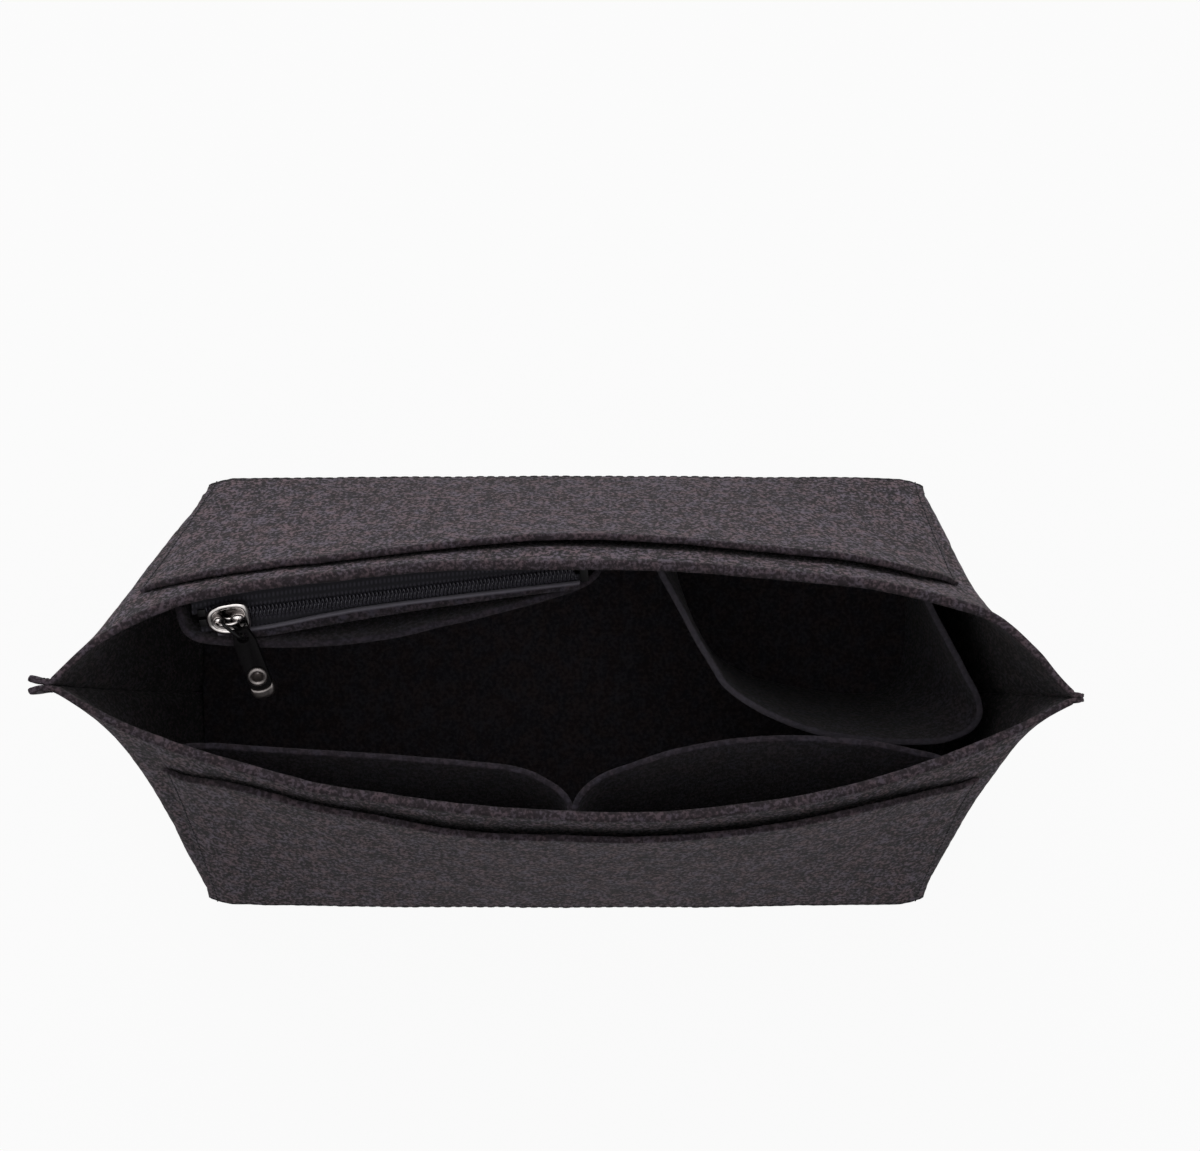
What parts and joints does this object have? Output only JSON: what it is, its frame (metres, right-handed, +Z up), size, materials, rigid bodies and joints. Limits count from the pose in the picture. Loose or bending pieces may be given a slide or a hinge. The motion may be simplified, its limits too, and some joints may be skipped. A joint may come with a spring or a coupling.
{
  "type": "purse organizer insert",
  "caption": "Open-topped felt insert for a handbag, with tapered ends, inner and outer slip pockets, a bottle loop and a zipped pocket with a leather pull.",
  "frame": {"origin": "middle of the base's underside", "axes": "+X toward the bottle loop's end, +Y toward the wall with the zip, +Z up through the open mouth"},
  "size_m": [0.298, 0.1415, 0.1671],
  "materials": {
    "wall_felt": "matte heathered charcoal felt",
    "pocket_felt": "matte heathered dark felt",
    "floor_felt": "matte dark felt",
    "board": "flat black board",
    "tape": "woven black tape",
    "coil": "moulded nylon",
    "nickel": "polished nickel",
    "lacquer": "black lacquered metal",
    "leather": "smooth black leather"
  },
  "bodies": {
    "organizer": {"front_panel": "wall_felt", "back_panel": "wall_felt", "base_panel": "wall_felt", "base_board": "board", "floor_panel": "floor_felt", "front_outer_pocket": "wall_felt", "back_outer_pocket": "wall_felt", "front_inner_pocket": "pocket_felt", "back_slip_pocket": "pocket_felt", "bottle_holder": "pocket_felt", "zip_pocket_panel": "pocket_felt", "zip_tape_upper": "tape", "zip_tape_lower": "tape", "zip_coil_upper": "coil", "zip_coil_lower": "coil", "zip_top_stop_upper": "lacquer", "zip_top_stop_lower": "lacquer", "zip_bottom_stop": "lacquer"},
    "slider": {"slider_body": "nickel", "slider_crown": "nickel"},
    "link": {"pull_link": "lacquer"},
    "pull": {"pull_strap": "leather", "pull_rivet": "nickel", "pull_end_cap": "nickel"}
  },
  "joints": [
    {"name": "slider_slide", "type": "slide", "parent": "organizer", "child": "slider", "axis": [0.9928, 0.1195, 0], "range_m": [0, 0.092], "deforming": ["zip_coil_upper", "zip_coil_lower"]},
    {"name": "link_swing", "type": "hinge", "parent": "slider", "child": "link", "pos_m": [-0.09549, 0.01894, 0.1515], "axis": [-0.6954, -0.6327, -0.3406], "range_deg": [0, 115]},
    {"name": "pull_swing", "type": "hinge", "parent": "link", "child": "pull", "pos_m": [-0.09133, 0.01564, 0.14914], "axis": [-0.9602, -0.2639, -0.092], "range_deg": [0, 8]}
  ]
}
